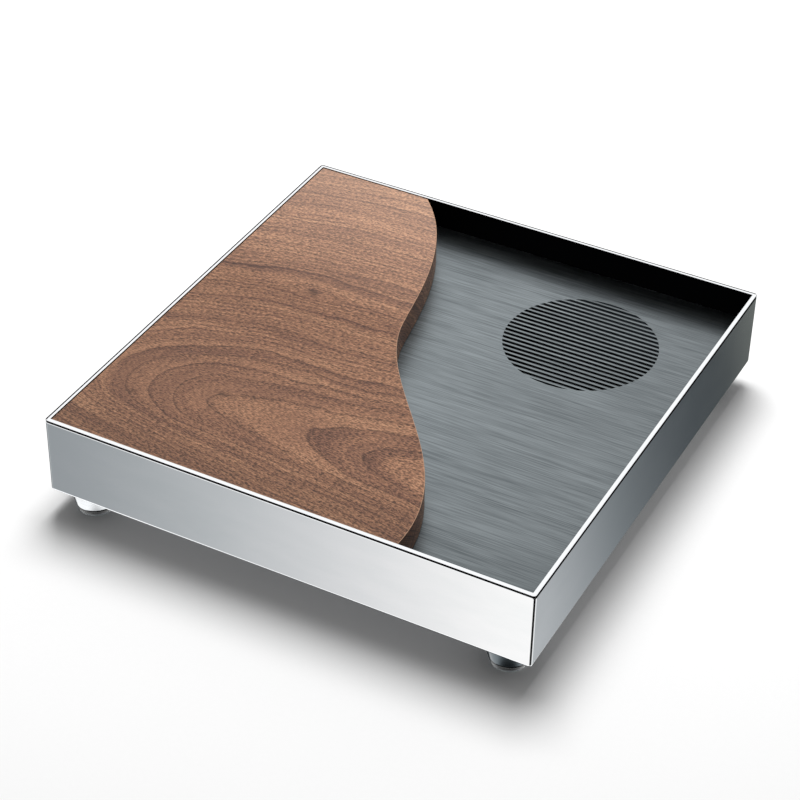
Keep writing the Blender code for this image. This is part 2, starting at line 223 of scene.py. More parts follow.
def makeBrushedDeck():
    # stainless plate brushed with a belt along X: long fine lines, soft light across them;
    # the lines are drawn coarser than the belt's grit, so that they show
    material, tree, shader = newMaterial("beltBrushedStainless")
    coords, axes = mmCoords(tree)
    s = deckSettings
    detail = {"line": (2.0, 0.6), "broad": (3.0, 0.55), "cloud": (2.0, 0.5), "hair": (2.0, 0.6)}
    layers = {}
    for name, (steps, rough) in detail.items():
        length, every = s[name][:2]
        layers[name] = noise(tree, coords, (1 / length, 1 / every, 0.0), steps, rough)
    tone = calc(tree, "ADD", calc(tree, "MULTIPLY", layers["line"], s["line"][2]),
                calc(tree, "MULTIPLY", layers["broad"], s["broad"][2]))
    tone = calc(tree, "ADD", tone, calc(tree, "MULTIPLY", layers["cloud"], s["cloud"][2]))
    hair = calc(tree, "SUBTRACT", layers["hair"], 0.5)
    tone = calc(tree, "ADD", tone, calc(tree, "MULTIPLY", hair, s["hair"][2]))
    tint = ramp(tree, remap(tree, tone, 0.40, 0.70), [(0.0, rgba(s["dark"])), (1.0, rgba(s["light"]))])
    # painted reflection and shade: paler on the left, darker on the right and along the front
    paintedReflectionGain = calc(tree, "MULTIPLY", remap(tree, axes[0], 0, 150, s["leftGain"], s["rightGain"]),
                remap(tree, axes[1], -157, -50, s["frontGain"], 1.0, smooth=True))
    tree.links.new(scaleColor(tree, tint, paintedReflectionGain), shader.inputs["Base Color"])
    tree.links.new(remap(tree, layers["line"], 0.3, 0.7, s["roughness"] - 0.05, s["roughness"] + 0.06),
                   shader.inputs["Roughness"])
    shader.inputs["Metallic"].default_value = 1.0
    shader.inputs["Anisotropic"].default_value = s["anisotropy"]
    along = addNode(tree, "ShaderNodeCombineXYZ", {0: 1.0, 1: 0.0, 2: 0.0}).outputs[0]
    tree.links.new(along, shader.inputs["Tangent"])
    tree.links.new(bump(tree, layers["line"], 0.25, 0.00006), shader.inputs["Normal"])
    return material


millSettings = {"dark": "#7b7f82", "light": "#95999c", "smoothest": 0.24, "roughest": 0.34}


def makeMillSteel():
    # cold-rolled stainless as it comes from the mill: dull grey, faint rolling lines
    material, tree, shader = newMaterial("millFinishStainless")
    coords = mmCoords(tree)[0]
    roll = noise(tree, coords, (1 / 25, 1 / 0.8, 1 / 0.8), 2.0)
    cloud = noise(tree, coords, (1 / 30, 1 / 30, 1 / 30), 2.0)
    tone = calc(tree, "ADD", calc(tree, "MULTIPLY", roll, 0.5), calc(tree, "MULTIPLY", cloud, 0.5))
    s = millSettings
    tree.links.new(ramp(tree, tone, [(0.3, rgba(s["dark"])), (0.7, rgba(s["light"]))]),
                   shader.inputs["Base Color"])
    tree.links.new(remap(tree, roll, 0.3, 0.7, s["smoothest"], s["roughest"]), shader.inputs["Roughness"])
    shader.inputs["Metallic"].default_value = 1.0
    return material


siliconeSettings = {"color": "#0d0e10", "dust": "#1b1c1f", "roughness": 0.2, "specular": 0.5}
sealSettings = {"color": "#060607", "dust": "#0c0c0e", "roughness": 0.45, "specular": 0.05}


def makeSilicone(name, settings):
    # black silicone rubber: smooth and dense from a polished mould, or dull as an extruded strip
    material, tree, shader = newMaterial(name)
    coords = mmCoords(tree)[0]
    grain = noise(tree, coords, (2.0, 2.0, 2.0), 3.0)
    dust = noise(tree, coords, (0.2, 0.2, 0.2), 3.0)
    tree.links.new(mixColor(tree, remap(tree, dust, 0.45, 0.75), rgba(settings["color"]),
                            rgba(settings["dust"])), shader.inputs["Base Color"])
    tree.links.new(remap(tree, dust, 0.3, 0.7, settings["roughness"],
                         settings["roughness"] + 0.12), shader.inputs["Roughness"])
    shader.inputs["Specular IOR Level"].default_value = settings["specular"]
    tree.links.new(bump(tree, grain, 0.06, 0.0001), shader.inputs["Normal"])
    return material


# the board's figure, in millimetres: a flame round one axis, with its noses pointing left
figure = {
    "axisY": -96.9,
    "ringWidth": 3.0,
    "backStretch": 0.70,        # the flame opens wider towards the back than the front
    "frontStretch": 0.81,
    "widening": 0.00146,        # rings draw apart with distance from the axis, per millimetre
    # distance from the tree's middle to the board's top face, at places along X
    "depth": ((-160, 61.5), (-149, 60.0), (-137, 57.0), (-122, 54.0), (-107, 51.2), (-89, 48.4),
              (-60, 46.8), (-35, 45.6), (-12, 44.6), (24, 41.6), (60, 39.1), (90, 36.5)),
    "tilt": 0.0164,             # how much the flame's axis leans along X, turning about tiltFrom
    "tiltFrom": -50.0,
    "sway": 9.0,                # slow and quick waves in the grain
    "ripple": 2.2,
    "straightZone": (-20.0, -46.0),     # in front of the flame, where its rings run out straight
    "straightDepth": (61.2, 43.7),
    "closeBehind": 62.0,        # beyond these rings the years were lean and the lines stand closer
    "closeBefore": 58.5,
    "closerBehind": 0.30,       # and how much closer
    "closerBefore": 0.45,
    "steepest": 0.72,           # how steeply the rings can cross the face
    # broad dark streaks: ring distance where each ends, and how dark it is
    "streaks": ((44.9, 0.6), (70.6, 0.5), (82.6, 0.65), (97.6, 1.0), (104.5, 0.4), (115.4, 0.35),
                (132.4, 0.35)),
    # pin knots: x, y, how far the grain swells round each, and how dark it is
    "knots": ((-85, 26, 4.0, 0.9), (-43, -52, 1.6, 0.6), (-80, -89, 0.0, 0.7), (-127, -112, 0.5, 0.6),
              (21, -126, 0.6, 0.5)),
    "knotLong": 15.0,
    "knotWide": 8.0,
    "knotCore": 1.6,
}
woodTones = {
    "deep": "#472f28",
    "dark": "#6d4d3f",
    "mid": "#946c54",
    "light": "#ba8f70",
    "line": "#35241e",
    "pore": "#2a1c17",
    "knot": "#2b1c16",
    "arris": "#c8a184",
    "sapwood": "#c9b3a4",
    "roughness": 0.5,
    "specular": 0.3,
    # how much each layer moves the tone: a year is one ring's own shade, late the dark end of every ring
    "streak": 1.1, "fibre": 0.6, "speck": 1.1, "patch": 0.2,
    "year": 0.08, "late": -0.07, "broadStreak": -0.14,
    "frontGain": 0.74,          # painted shade and sheen: darker towards the front edge, paler towards the back
    "middleGain": 0.98,
    "backGain": 1.40,
}


def figureDepth(tree, x):
    # the depth curve as one float curve over the board's length
    low, high = figure["depth"][0][0], figure["depth"][-1][0]
    top, bottom = 62.0, 36.0
    node = addNode(tree, "ShaderNodeFloatCurve", {"Factor": 1.0, "Value": remap(tree, x, low, high)})
    curve = node.mapping.curves[0]
    points = [((px - low) / (high - low), (depth - bottom) / (top - bottom)) for px, depth in figure["depth"]]
    curve.points[0].location = points[0]
    curve.points[1].location = points[-1]
    for point in points[1:-1]:
        curve.points.new(*point)
    node.mapping.update()
    return remap(tree, node.outputs[0], 0.0, 1.0, bottom, top)


def dashes(tree, along, across, length, width, size):
    # scattered short strokes along the grain, 1 in their middle; every cell has its own strength
    place = addNode(tree, "ShaderNodeCombineXYZ", {0: calc(tree, "DIVIDE", along, length),
                                                   1: calc(tree, "DIVIDE", across, width)}).outputs[0]
    cells = addNode(tree, "ShaderNodeTexVoronoi", {"Vector": place, "Scale": 1.0, "Randomness": 1.0},
                    voronoi_dimensions="2D").outputs
    own = addNode(tree, "ShaderNodeSeparateColor", {0: cells["Color"]}).outputs[0]
    mask = remap(tree, cells["Distance"], size, size * 0.45, smooth=True)
    return calc(tree, "MULTIPLY", mask, remap(tree, own, 0.0, 1.0, 0.35, 1.0))


def ringField(tree, x, y, under, sway, ripple):
    # the distance from the tree's middle, its part across the face, and the way back from the flame's axis
    f = figure
    tilt = calc(tree, "MULTIPLY", calc(tree, "SUBTRACT", x, f["tiltFrom"]), f["tilt"])
    away = calc(tree, "ADD", calc(tree, "SUBTRACT", y, f["axisY"]), tilt)
    away = calc(tree, "ADD", away, calc(tree, "MULTIPLY", sway, f["sway"]))
    away = calc(tree, "ADD", away, calc(tree, "MULTIPLY", ripple, f["ripple"]))
    behind = calc(tree, "MULTIPLY", calc(tree, "MAXIMUM", away, 0.0), f["backStretch"])
    before = calc(tree, "MULTIPLY", calc(tree, "MINIMUM", away, 0.0), -f["frontStretch"])
    across = calc(tree, "ADD", behind, before)
    wide = calc(tree, "SUBTRACT", 1.0, calc(tree, "MULTIPLY", across, f["widening"]))
    across = calc(tree, "MULTIPLY", across, wide)
    straight = remap(tree, away, *f["straightZone"], smooth=True)
    slope = remap(tree, x, f["depth"][0][0], f["depth"][-1][0], *f["straightDepth"])
    depth = addNode(tree, "ShaderNodeMix", {0: straight, 2: figureDepth(tree, x), 3: slope}).outputs[0]
    depth = calc(tree, "ADD", depth, under)
    radius = calc(tree, "SQRT", calc(tree, "ADD", calc(tree, "MULTIPLY", across, across),
                                     calc(tree, "MULTIPLY", depth, depth)))
    return calc(tree, "ADD", radius, calc(tree, "MULTIPLY", ripple, 0.5)), across, away


def hill(tree, offX, offY, long, wide, fall):
    # 1 in the middle of an ellipse, fading softly outwards
    x = calc(tree, "DIVIDE", offX, long)
    y = calc(tree, "DIVIDE", offY, wide)
    square = calc(tree, "ADD", calc(tree, "MULTIPLY", x, x), calc(tree, "MULTIPLY", y, y))
    return calc(tree, "EXPONENT", calc(tree, "MULTIPLY", square, -fall))


def knotMarks(tree, x, y, radius):
    # the rings swell round each pin knot; core is the dark spot in its middle
    core = None
    for knotX, knotY, swell, darkness in figure["knots"]:
        offX = calc(tree, "SUBTRACT", x, knotX)
        offY = calc(tree, "SUBTRACT", y, knotY)
        around = hill(tree, offX, offY, figure["knotLong"], figure["knotWide"], 1.0)
        around = calc(tree, "MULTIPLY", around, remap(tree, offY, -8, 8, swell, -swell, smooth=True))
        radius = calc(tree, "ADD", radius, around)
        spot = hill(tree, offX, offY, figure["knotCore"] * 2.2, figure["knotCore"], 0.7)
        spot = calc(tree, "MULTIPLY", spot, darkness)
        core = spot if core is None else calc(tree, "MAXIMUM", core, spot)
    return radius, core


def broadStreaks(tree, radius):
    # broad streaks between the lines, each building up slowly and ending short
    shade = None
    for level, darkness in figure["streaks"]:
        build = remap(tree, radius, level - 5.0, level - 0.8, 0.0, darkness, smooth=True)
        end = remap(tree, radius, level - 0.5, level + 0.5, 1.0, 0.0, smooth=True)
        streak = calc(tree, "MULTIPLY", build, end)
        shade = streak if shade is None else calc(tree, "MAXIMUM", shade, streak)
    return shade


def growthRings(tree, coords, radius, across, away):
    # each ring darkens slowly and ends in a thin dark line; beyond the flame the years are lean
    f = figure
    isBehind = calc(tree, "GREATER_THAN", away, 0.0)
    start = remap(tree, isBehind, 0.0, 1.0, f["closeBefore"], f["closeBehind"])
    lean = calc(tree, "MAXIMUM", calc(tree, "SUBTRACT", radius, start), 0.0)
    closer = remap(tree, isBehind, 0.0, 1.0, f["closerBefore"], f["closerBehind"])
    ring = calc(tree, "ADD", calc(tree, "DIVIDE", radius, f["ringWidth"]),
                calc(tree, "MULTIPLY", lean, closer))
    number = calc(tree, "FLOOR", ring)
    part = calc(tree, "FRACT", ring)
    own = addNode(tree, "ShaderNodeTexWhiteNoise", {"W": number}, noise_dimensions="1D").outputs["Value"]
    year = addNode(tree, "ShaderNodeTexWhiteNoise", {"W": calc(tree, "ADD", number, 47.0)},
                   noise_dimensions="1D").outputs["Value"]
    # how steeply the rings cross the face, so that a line keeps its width along its whole length
    slope = calc(tree, "DIVIDE", calc(tree, "MULTIPLY", across, f["steepest"]), radius)
    steep = calc(tree, "SQRT", calc(tree, "ADD", calc(tree, "MULTIPLY", slope, slope), 0.012))
    inFlame = remap(tree, lean, 0.0, 3.0, 1.0, 0.0)
    ahead = calc(tree, "MULTIPLY", calc(tree, "SUBTRACT", 1.0, part), f["ringWidth"])
    ahead = calc(tree, "DIVIDE", ahead, steep)
    past = calc(tree, "DIVIDE", calc(tree, "MULTIPLY", part, f["ringWidth"]), steep)
    reach = remap(tree, inFlame, 0.0, 1.0, 2.6, 2.2)
    ahead = calc(tree, "DIVIDE", ahead, reach)
    line = calc(tree, "MAXIMUM", remap(tree, ahead, 0.0, 1.0, 1.0, 0.0, smooth=True),
                remap(tree, past, 0.0, 0.5, 1.0, 0.0, smooth=True))
    strength = remap(tree, own, 0.1, 0.9, 0.15, 1.0)
    strength = calc(tree, "MAXIMUM", strength, calc(tree, "MULTIPLY", inFlame, 0.75))
    broken = remap(tree, noise(tree, coords, (1 / 9, 1 / 2.0, 0.0), 2.0), 0.3, 0.6, 0.45, 1.0)
    line = calc(tree, "MULTIPLY", calc(tree, "MULTIPLY", line, strength), broken)
    return line, part, year, inFlame


def woodTint(tree, tone, line, speck, pores, core):
    # the wood's colour from its tone, then the growth lines, the pores and the knots over it
    w = woodTones
    wood = ramp(tree, remap(tree, tone, 1.05, 1.90), [
        (0.0, rgba(w["deep"])), (0.3, rgba(w["dark"])), (0.6, rgba(w["mid"])), (1.0, rgba(w["light"]))])
    line = calc(tree, "MULTIPLY", line, remap(tree, speck, 0.35, 0.6, 1.0, 0.45))
    wood = mixColor(tree, calc(tree, "MULTIPLY", line, 0.9), wood, rgba(w["line"]))
    wood = mixColor(tree, pores, wood, rgba(w["pore"]))
    return mixColor(tree, calc(tree, "MULTIPLY", core, 0.75), wood, rgba(w["knot"]))


def paintedBoardLight(tree, wood, x, y):
    # painted shade and sheen: darker at the front edge, paler towards the back; the arris is paler
    w = woodTones
    gain = calc(tree, "ADD", remap(tree, y, -160, -105, w["frontGain"], w["middleGain"], smooth=True),
                remap(tree, y, 10, 115, 0.0, w["backGain"] - w["middleGain"]))
    gain = calc(tree, "MULTIPLY", gain, remap(tree, x, -150, 0, 0.96, 1.07))
    wood = scaleColor(tree, wood, gain)
    # painted sheen: a pale mix towards the back
    wood = mixColor(tree, remap(tree, y, 20, 150, 0.0, 0.2), wood, rgba(w["sapwood"]))
    normal = addNode(tree, "ShaderNodeNewGeometry").outputs["Normal"]
    up = addNode(tree, "ShaderNodeSeparateXYZ", {0: normal}).outputs[2]
    arris = calc(tree, "MULTIPLY", remap(tree, up, 0.2, 0.5), remap(tree, up, 0.98, 0.9))
    return mixColor(tree, calc(tree, "MULTIPLY", arris, 0.75), wood, rgba(w["arris"]))


def makeWalnut():
    # American black walnut, planed and oiled: brown with dark growth lines, open pores along the grain
    material, tree, shader = newMaterial("oiledBlackWalnut")
    coords, axes = mmCoords(tree)
    x, y, z = axes[0], axes[1], axes[2]
    w = woodTones
    under = calc(tree, "SUBTRACT", z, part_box("walnut_board")[1][2] / mm)
    sway = calc(tree, "SUBTRACT", noise(tree, coords, (1 / 60, 1 / 34, 1 / 34), 2.0), 0.5)
    ripple = calc(tree, "SUBTRACT", noise(tree, coords, (1 / 13, 1 / 9, 1 / 9), 2.0), 0.5)
    radius, across, away = ringField(tree, x, y, under, sway, ripple)
    radius, core = knotMarks(tree, x, y, radius)
    line, part, year, inFlame = growthRings(tree, coords, radius, across, away)

    # the grain runs along the board, leaning with the rings
    leaning = calc(tree, "ADD", remap(tree, y, -125, -60, -0.15, 0.13, smooth=True),
                   remap(tree, y, 40, 130, 0.0, -0.12, smooth=True))
    grain = calc(tree, "SUBTRACT", y, calc(tree, "MULTIPLY", x, leaning))
    grain = calc(tree, "ADD", grain, ripple)
    flow = addNode(tree, "ShaderNodeCombineXYZ", {0: x, 1: radius, 2: z}).outputs[0]
    cut = addNode(tree, "ShaderNodeCombineXYZ", {0: x, 1: grain, 2: under}).outputs[0]
    strand = noise(tree, flow, (1 / 110, 1 / 1.3, 0.0), 2.0, 0.6)
    streak = noise(tree, flow, (1 / 150, 1 / 5.0, 0.0), 3.0, 0.6)
    strandShare = remap(tree, inFlame, 0.0, 1.0, 0.6, 0.3)
    calm = calc(tree, "MULTIPLY", calc(tree, "SUBTRACT", 1.0, strandShare), streak)
    layers = {
        "streak": calc(tree, "ADD", calm, calc(tree, "MULTIPLY", strand, strandShare)),
        "fibre": noise(tree, cut, (1 / 16, 1 / 0.75, 1 / 0.75), 3.0, 0.65),
        "speck": noise(tree, cut, (1 / 2.2, 1 / 0.6, 1 / 0.6), 2.0, 0.6),
        "patch": noise(tree, coords, (1 / 60, 1 / 40, 0.0), 2.0),
        "year": year,
        "late": remap(tree, part, 0.35, 1.0, smooth=True),
        "broadStreak": broadStreaks(tree, radius),
    }
    tone = 0.0
    for name, layer in layers.items():
        tone = calc(tree, "ADD", tone, calc(tree, "MULTIPLY", layer, w[name]))

    # pores are 0.2 mm wide, drawn coarser; they go round the board's edges too
    grain = calc(tree, "ADD", grain, calc(tree, "MULTIPLY", under, 1.3))
    poreLong = dashes(tree, x, grain, 3.6, 1.3, 0.46)
    poreShort = dashes(tree, calc(tree, "ADD", x, 31.7), calc(tree, "ADD", grain, 11.3), 2.2, 1.05, 0.42)
    pores = calc(tree, "MAXIMUM", calc(tree, "MULTIPLY", poreLong, 0.95),
                 calc(tree, "MULTIPLY", poreShort, 0.85))
    crowd = remap(tree, part, 0.0, 1.0, 0.75, 1.0)       # pores crowd towards the end of each year
    pores = calc(tree, "MULTIPLY", pores, crowd)
    wood = woodTint(tree, tone, line, layers["speck"], pores, core)
    tree.links.new(paintedBoardLight(tree, wood, x, y), shader.inputs["Base Color"])
    tree.links.new(remap(tree, layers["fibre"], 0.3, 0.7, w["roughness"] - 0.06, w["roughness"] + 0.08),
                   shader.inputs["Roughness"])
    shader.inputs["Specular IOR Level"].default_value = w["specular"]
    relief = calc(tree, "SUBTRACT", calc(tree, "MULTIPLY", layers["fibre"], 0.3), pores)
    tree.links.new(bump(tree, relief, 0.25, 0.00008), shader.inputs["Normal"])
    return material


mirrorSteel = makeMirrorSteel()
footSteel = makeFootSteel()
treadRubber = makeTreadRubber()
paintedShadeBlack = makePaintedShadeBlack()
brushedDeck = makeBrushedDeck()
millSteel = makeMillSteel()
silicone = makeSilicone("mouldedBlackSilicone", siliconeSettings)
sealRubber = makeSilicone("extrudedBlackSilicone", sealSettings)
walnut = makeWalnut()
print("materials made")


def deselectAll():
    if bpy.context.object and bpy.context.object.mode != "OBJECT":
        bpy.ops.object.mode_set(mode="OBJECT")
    bpy.ops.object.select_all(action="DESELECT")


def pickOnly(item):
    deselectAll()
    item.select_set(True)
    bpy.context.view_layer.objects.active = item


def applyPlace(item):
    pickOnly(item)
    bpy.ops.object.transform_apply(location=True, rotation=True, scale=True)


def applyModifiers(item):
    pickOnly(item)
    for modifier in list(item.modifiers):
        bpy.ops.object.modifier_apply(modifier=modifier.name)


def selectParts(item, kind, test):
    # selects the faces or edges whose middle passes the test, in edit mode with nothing else selected
    bpy.ops.object.mode_set(mode="EDIT")
    bpy.ops.mesh.select_mode(type=kind)
    bpy.ops.mesh.select_all(action="DESELECT")
    bpy.ops.object.mode_set(mode="OBJECT")
    mesh = item.data
    parts = mesh.polygons if kind == "FACE" else mesh.edges
    for part in parts:
        points = [mesh.vertices[i].co for i in part.vertices]
        part.select = bool(test(sum(points, Vector()) / len(points), points))
    bpy.ops.object.mode_set(mode="EDIT")


def bevelSelected(width, steps):
    bpy.ops.mesh.bevel(offset=width, segments=steps, affect="EDGES")
    bpy.ops.object.mode_set(mode="OBJECT")


def closeOff(item, angle=35.0):
    # merges doubles, turns the faces out and shades the piece by angle
    pickOnly(item)
    bpy.ops.object.mode_set(mode="EDIT")
    bpy.ops.mesh.select_all(action="SELECT")
    bpy.ops.mesh.remove_doubles(threshold=0.00001)
    bpy.ops.mesh.normals_make_consistent(inside=False)
    bpy.ops.object.mode_set(mode="OBJECT")
    bpy.ops.object.shade_smooth_by_angle(angle=math.radians(angle))
    # flat sheet stays flat to the eye beside its bends
    flat = item.modifiers.new("flat", "WEIGHTED_NORMAL")
    flat.keep_sharp = True
    flat.weight = 100
    applyModifiers(item)


def finishPiece(item, name, body, slotName, replaced, *finishes):
    item.name = name
    item.data.name = name
    for finish in finishes:
        item.data.materials.append(finish)
    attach(item, body)
    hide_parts(*replaced)


def addBlock(low, high):
    deselectAll()
    middle = [(a + b) / 2 for a, b in zip(low, high)]
    bpy.ops.mesh.primitive_cube_add(size=1.0, location=middle)
    block = bpy.context.object
    block.scale = [b - a for a, b in zip(low, high)]
    applyPlace(block)
    return block


def cutAway(item, cutter):
    cut = item.modifiers.new("cut", "BOOLEAN")
    cut.operation = "DIFFERENCE"
    cut.solver = "EXACT"
    cut.object = cutter
    applyModifiers(item)
    bpy.data.objects.remove(cutter)


def addRod(x, y, radius, low, high, sides=48):
    deselectAll()
    bpy.ops.mesh.primitive_cylinder_add(vertices=sides, radius=radius, depth=high - low,
                                        location=(x, y, (low + high) / 2))
    rod = bpy.context.object
    applyPlace(rod)
    return rod


def turnPiece(profile, sides=96):
    # a closed turned piece about the Z axis: a ring, extruded and resized along the profile
    deselectAll()
    radius, z = profile[0]
    bpy.ops.mesh.primitive_circle_add(vertices=sides, radius=radius, location=(0, 0, z), fill_type="NGON")
    piece = bpy.context.object
    applyPlace(piece)
    bpy.ops.object.mode_set(mode="EDIT")
    bpy.ops.mesh.select_mode(type="FACE")
    bpy.ops.mesh.select_all(action="SELECT")
    for nextRadius, nextZ in profile[1:]:
        bpy.ops.mesh.extrude_region_move(TRANSFORM_OT_translate={"value": (0, 0, nextZ - z)})
        grow = nextRadius / radius
        bpy.ops.transform.resize(value=(grow, grow, 1.0), center_override=(0, 0, nextZ))
        radius, z = nextRadius, nextZ
    bpy.ops.object.mode_set(mode="OBJECT")
    return piece


caseSettings = {
    "bend": 2.0 * mm, "bendSteps": 10, "sheet": 1.2 * mm,
    "lipArris": 0.4 * mm, "lipSteps": 3,
    "skinDepth": 0.7 * mm,        # how deep in the wall the middle of an outer edge may lie
    "screwHole": 2.8 * mm,
}


def isTop(points, high):
    return all(q.z > high[2] - 0.01 * mm for q in points)


def middleOf(name):
    low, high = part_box(name)
    return (low[0] + high[0]) / 2, (low[1] + high[1]) / 2


def onSkin(points, high):
    # true for an edge on the case's outer skin, on a side or on the bend at a corner
    bend = caseSettings["bend"]
    for q in points:
        overX = max(abs(q.x) - (high[0] - bend), 0.0)
        overY = max(abs(q.y) - (high[1] - bend), 0.0)
        if math.hypot(overX, overY) < bend - 0.05 * mm:
            return False
    return True


def buildCase():
    low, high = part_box("outer_case")
    s = caseSettings
    case = addBlock(low, high)
    belowLip = high[2] - 0.1 * mm
    selectParts(case, "FACE", lambda c, p: c.z > belowLip)
    bpy.ops.mesh.delete(type="FACE")
    # bend the upright corners and the lower edge
    selectParts(case, "EDGE", lambda c, p: c.z < belowLip)
    bevelSelected(s["bend"], s["bendSteps"])
    wall = case.modifiers.new("wall", "SOLIDIFY")
    wall.thickness = s["sheet"]
    wall.offset = -1.0
    wall.use_even_offset = True
    applyModifiers(case)
    selectParts(case, "EDGE", lambda c, p: isTop(p, high)
                and (abs(c.x) > high[0] - s["skinDepth"] or abs(c.y) > high[1] - s["skinDepth"])
                and onSkin(p, high))
    bevelSelected(s["lipArris"], s["lipSteps"])
    for name in [n for n in nodes if n.startswith("foot_screw_")]:
        x, y = middleOf(name)
        cutAway(case, addRod(x, y, s["screwHole"], low[2] - mm, low[2] + 3 * mm))
    closeOff(case, 30)
    finishPiece(case, "caseShell", "case", "polished_steel", ["outer_case"], mirrorSteel, paintedShadeBlack)
    for face in case.data.polygons:
        # painted shade: the lip of the right wall is drawn black, a dark line along its top edge
        paintedShadeLip = face.center.z > high[2] - s["lipArris"] - 0.05 * mm and face.normal.x > 0.2
        face.material_index = 1 if paintedShadeLip else 0


rimSettings = {
    "corner": 2.0 * mm, "cornerSteps": 8,      # outside, as on the case below
    "round": 0.35 * mm, "roundSteps": 4,       # the bar's outer edge
    "blackEdge": 0.7 * mm,                    # flat strip beside it, painted black as shade at the back and left
    "bar": 0.8 * mm,
    "innerCorner": 0.4 * mm,
    "upright": 1.0 * mm,
    "ledge": 8.0 * mm, "ledgeSheet": 1.0 * mm,
    "arris": 0.1 * mm,
    "deckGap": 0.3 * mm,                       # room round the deck plate
}


def bevelUprights(item, width, steps):
    # rounds the block's four upright edges
    selectParts(item, "EDGE", lambda c, p: abs(p[0].z - p[1].z) > 0.1 * mm)
    bevelSelected(width, steps)


def joinTo(item, other):
    union = item.modifiers.new("union", "BOOLEAN")
    union.operation = "UNION"
    union.solver = "EXACT"
    union.object = other
    applyModifiers(item)
    bpy.data.objects.remove(other)


def buildRim():
    # a bar round the top, an upright inside the wall and a ledge, all one welded frame
    low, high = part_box("rim_frame")
    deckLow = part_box("deck_plate")[0]
    s = rimSettings
    innerX, innerY = -deckLow[0] + s["deckGap"], -deckLow[1] + s["deckGap"]
    rim = addBlock((low[0], low[1], high[2] - s["bar"]), high)
    bevelUprights(rim, s["corner"], s["cornerSteps"])
    selectParts(rim, "EDGE", lambda c, p: isTop(p, high))
    bevelSelected(s["round"], s["roundSteps"])
    selectParts(rim, "FACE", lambda c, p: isTop(p, high))
    bpy.ops.mesh.inset(thickness=s["blackEdge"])
    bpy.ops.object.mode_set(mode="OBJECT")
    sideX, sideY = innerX + s["upright"], innerY + s["upright"]
    upright = addBlock((-sideX, -sideY, low[2]), (sideX, sideY, high[2] - s["bar"] / 2))
    bevelUprights(upright, s["innerCorner"], 3)
    joinTo(rim, upright)
    recess = addBlock((-innerX, -innerY, low[2] + s["ledgeSheet"]), (innerX, innerY, high[2] + mm))
    bevelUprights(recess, s["innerCorner"], 3)
    cutAway(rim, recess)
    holeX, holeY = innerX - s["ledge"], innerY - s["ledge"]
    hole = addBlock((-holeX, -holeY, low[2] - mm), (holeX, holeY, low[2] + 2 * mm))
    bevelUprights(hole, s["innerCorner"], 3)
    cutAway(rim, hole)
    arris = rim.modifiers.new("arris", "BEVEL")
    arris.width = s["arris"]
    arris.segments = 2
    arris.limit_method = "ANGLE"
    arris.angle_limit = math.radians(60)
    applyModifiers(rim)
    closeOff(rim, 40)
    finishPiece(rim, "rimFrame", "case", "polished_steel", ["rim_frame"], mirrorSteel, paintedShadeBlack)
    # painted shade: the inside is drawn black, and so are the bar's outermost strip at the back and left and
    # its near edge
    strip = s["round"] + s["blackEdge"]
    for face in rim.data.polygons:
        middle = face.center
        near = min(high[0] - middle.x, middle.y - low[1]) < s["round"] * 0.4
        far = min(middle.x - low[0], high[1] - middle.y) < strip
        black = near or far or middle.z < high[2] - s["arris"]
        face.material_index = 1 if black else 0


# the wave is two curves that meet at the waist; places in millimetres, as in the CAD board
boardSettings = {
    "backX": -73.9, "backHandle": (-30.1, 112.7),
    "waist": (-20.2, 18.9), "waistSlope": (0.268, -0.963), "waistBack": 24.8, "waistFront": 62.0,
    "frontHandle": (76.3, -81.7), "frontX": 72.0,
    "arris": 0.45 * mm, "arrisSteps": 3, "curveSteps": 40,
    "fitGap": 0.3 * mm,        # room round the pads and pegs that sit in the board
}


def boardOutline(low, high):
    s = boardSettings
    waist = Vector(s["waist"]) * mm
    slope = Vector(s["waistSlope"])
    back = Vector((s["backX"] * mm, high[1]))
    front = Vector((s["frontX"] * mm, low[1]))
    left = low[0]
    deselectAll()
    bpy.ops.curve.primitive_bezier_curve_add(location=(0, 0, 0))
    outline = bpy.context.object
    spline = outline.data.splines[0]
    spline.bezier_points.add(3)
    spline.use_cyclic_u = True
    spline.resolution_u = s["curveSteps"]
    # sides without a handle are straight, each a single edge; only the wave has handles
    stops = (
        (back, None, Vector(s["backHandle"]) * mm),
        (waist, waist - slope * s["waistBack"] * mm, waist + slope * s["waistFront"] * mm),
        (front, Vector(s["frontHandle"]) * mm, None),
        (Vector((left, low[1])), None, None),
        (Vector((left, high[1])), None, None),
    )
    for point, (place, before, after) in zip(spline.bezier_points, stops):
        point.co = (*place, 0)
        point.handle_left_type = "FREE" if before else "VECTOR"
        point.handle_right_type = "FREE" if after else "VECTOR"
        if before:
            point.handle_left = (*before, 0)
        if after:
            point.handle_right = (*after, 0)
    outline.data.dimensions = "2D"
    outline.data.fill_mode = "NONE"
    pickOnly(outline)
    bpy.ops.object.convert(target="MESH")
    return bpy.context.object


def buildBoard():
    low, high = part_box("walnut_board")
    s = boardSettings
    board = boardOutline(low, high)
    board.location = (0, 0, low[2])
    applyPlace(board)
    bpy.ops.object.mode_set(mode="EDIT")
    bpy.ops.mesh.select_all(action="SELECT")
    bpy.ops.mesh.remove_doubles(threshold=0.01 * mm)
    bpy.ops.mesh.edge_face_add()
    bpy.ops.mesh.extrude_region_move(TRANSFORM_OT_translate={"value": (0, 0, high[2] - low[2])})
    bpy.ops.object.mode_set(mode="OBJECT")
    selectParts(board, "EDGE", lambda c, p: isTop(p, high) or all(q.z < low[2] + 0.01 * mm for q in p))
    bevelSelected(s["arris"], s["arrisSteps"])
    for name in [n for n in nodes if n.startswith(("board_pad_", "board_peg_"))]:
        padLow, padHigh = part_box(name)
        x, y = middleOf(name)
        radius = (padHigh[0] - padLow[0]) / 2 + s["fitGap"]
        cutAway(board, addRod(x, y, radius, low[2] - 2 * mm, padHigh[2] + s["fitGap"]))
    closeOff(board, 30)
    finishPiece(board, "walnutBoard", "board", "oiled_walnut", ["walnut_board"], walnut)


